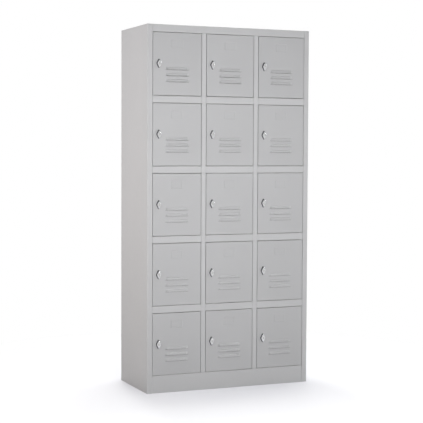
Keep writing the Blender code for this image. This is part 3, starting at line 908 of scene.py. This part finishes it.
def make_camera():
    """The photograph's camera, which looks slightly down and is slightly rolled."""
    forward = Vector((
        math.sin(CAMERA_AZIMUTH) * math.cos(CAMERA_DOWN),
        math.cos(CAMERA_AZIMUTH) * math.cos(CAMERA_DOWN),
        -math.sin(CAMERA_DOWN),
    ))
    level = Vector((math.cos(CAMERA_AZIMUTH), -math.sin(CAMERA_AZIMUTH), 0))
    upright = level.cross(forward)
    right = level * math.cos(CAMERA_ROLL) + upright * math.sin(CAMERA_ROLL)
    up = upright * math.cos(CAMERA_ROLL) - level * math.sin(CAMERA_ROLL)
    data = bpy.data.cameras.new("camera")
    data.sensor_width = SENSOR
    data.lens = SENSOR * FOCAL_PIXELS / PHOTO_PIXELS
    data.clip_end = FLOOR_SIZE * 2
    camera = link(bpy.data.objects.new("camera", data))
    camera.matrix_world = Matrix((
        (right.x, up.x, -forward.x, CAMERA_PLACE.x),
        (right.y, up.y, -forward.y, CAMERA_PLACE.y),
        (right.z, up.z, -forward.z, CAMERA_PLACE.z),
        (0, 0, 0, 1),
    ))
    bpy.context.scene.camera = camera


def seen_directly(tree):
    """1 for camera, mirror and glass rays, 0 for the rays that only carry light."""
    path = add_node(tree, "ShaderNodeLightPath")
    total = path.outputs["Is Camera Ray"]
    for kind in ("Is Glossy Ray", "Is Transmission Ray"):
        both = add_node(
            tree, "ShaderNodeMath", {"operation": "MAXIMUM"}, links={0: total, 1: path.outputs[kind]},
        )
        total = both.outputs["Value"]
    return total


def floor_material():
    """Pale floor that fades to white away from the object, and sends little light up."""
    material, tree, shader = new_material("studio_floor")
    place = add_node(tree, "ShaderNodeTexCoord").outputs["Object"]
    distance = add_node(
        tree, "ShaderNodeVectorMath", {"operation": "LENGTH"}, links={0: place},
    ).outputs["Value"]
    far = spread(
        tree, distance, low=0.0, high=1.0, from_low=CLEAR_FLOOR_RADIUS, from_high=WHITE_FLOOR_RADIUS,
    )
    shader.inputs["Base Color"].default_value = FLOOR_COLOUR
    shader.inputs["Roughness"].default_value = FLOOR_ROUGHNESS
    shader.inputs["Specular IOR Level"].default_value = 0.0
    shader.inputs["Emission Color"].default_value = FLOOR_GLOW_COLOUR
    shader.inputs["Emission Strength"].default_value = FLOOR_GLOW
    white = add_node(tree, "ShaderNodeEmission", {}, {"Color": WHITE, "Strength": 1.0})
    faded = add_node(
        tree, "ShaderNodeMixShader", links={0: far, 1: shader.outputs[0], 2: white.outputs[0]},
    )
    dull = add_node(tree, "ShaderNodeBsdfDiffuse", {}, {"Color": FLOOR_BOUNCE_COLOUR})
    shown = add_node(
        tree, "ShaderNodeMixShader",
        links={0: seen_directly(tree), 1: dull.outputs[0], 2: faded.outputs[0]},
    )
    tree.links.new(shown.outputs[0], tree.nodes["Material Output"].inputs["Surface"])
    return material


def make_floor():
    shape = bmesh.new()
    half = FLOOR_SIZE / 2
    corners = [(-half, -half, 0), (half, -half, 0), (half, half, 0), (-half, half, 0)]
    shape.faces.new(add_ring(shape, corners))
    mesh = bpy.data.meshes.new("studio_floor")
    shape.to_mesh(mesh)
    shape.free()
    mesh.materials.append(floor_material())
    link(bpy.data.objects.new("studio_floor", mesh))


def make_world():
    world = bpy.data.worlds.new("studio")
    world.use_nodes = True
    tree = world.node_tree
    tree.nodes.clear()
    soft = add_node(
        tree, "ShaderNodeBackground", {}, {"Color": EVEN_LIGHT_COLOUR, "Strength": EVEN_LIGHT},
    )
    direction = add_node(tree, "ShaderNodeTexCoord").outputs["Generated"]
    height = add_node(tree, "ShaderNodeSeparateXYZ", links={"Vector": direction}).outputs["Z"]
    fall = spread(
        tree, height, low=1.0, high=OVERHEAD_WHITE, from_low=DARKENING_STARTS, from_high=DARKENING_ENDS,
    )
    white = add_node(tree, "ShaderNodeBackground", {}, {"Color": WHITE}, {"Strength": fall})
    shown = add_node(
        tree, "ShaderNodeMixShader",
        links={0: seen_directly(tree), 1: soft.outputs[0], 2: white.outputs[0]},
    )
    add_node(tree, "ShaderNodeOutputWorld", links={"Surface": shown.outputs[0]})
    bpy.context.scene.world = world


def add_softbox(name, place, aim, size, power, colour, mirrored):
    data = bpy.data.lights.new(name, "AREA")
    data.shape = "RECTANGLE"
    data.size = size[0]
    data.size_y = size[1]
    data.energy = power
    data.color = colour
    lamp = link(bpy.data.objects.new(name, data))
    lamp.location = place
    lamp.rotation_mode = "QUATERNION"
    lamp.rotation_quaternion = (Vector(aim) - Vector(place)).to_track_quat("-Z", "Y")
    lamp.visible_camera = False
    lamp.visible_glossy = mirrored


def main():
    make_camera()
    materials = {
        "frame": powder_coat("frame_powder_coat", FRAME_COLOUR),
        "door": powder_coat("door_powder_coat", DOOR_COLOUR),
        # Dark grey coat for the painted shade along the louvre lips
        "painted_lip_shade": powder_coat("painted_lip_shade", LIP_SHADE_COLOUR),
        "chrome": bright_chrome("chrome_handle", CHROME_COLOUR),
        # Dark chrome for the painted shade on the handle's flanks
        "painted_flank_shade": bright_chrome("handle_flank_painted_shade", FLANK_SHADE_COLOUR),
        "zinc": zinc_plate("zinc_plate", ZINC_COLOUR),
        "nickel": turned_nickel("key_cylinder_nickel", NICKEL_COLOUR),
    }
    dress_cabinet(materials["frame"])
    make_doors(materials)
    make_floor()
    make_world()
    for softbox in SOFTBOXES:
        add_softbox(*softbox)
    bpy.context.scene.view_settings.view_transform = "Standard"


main()
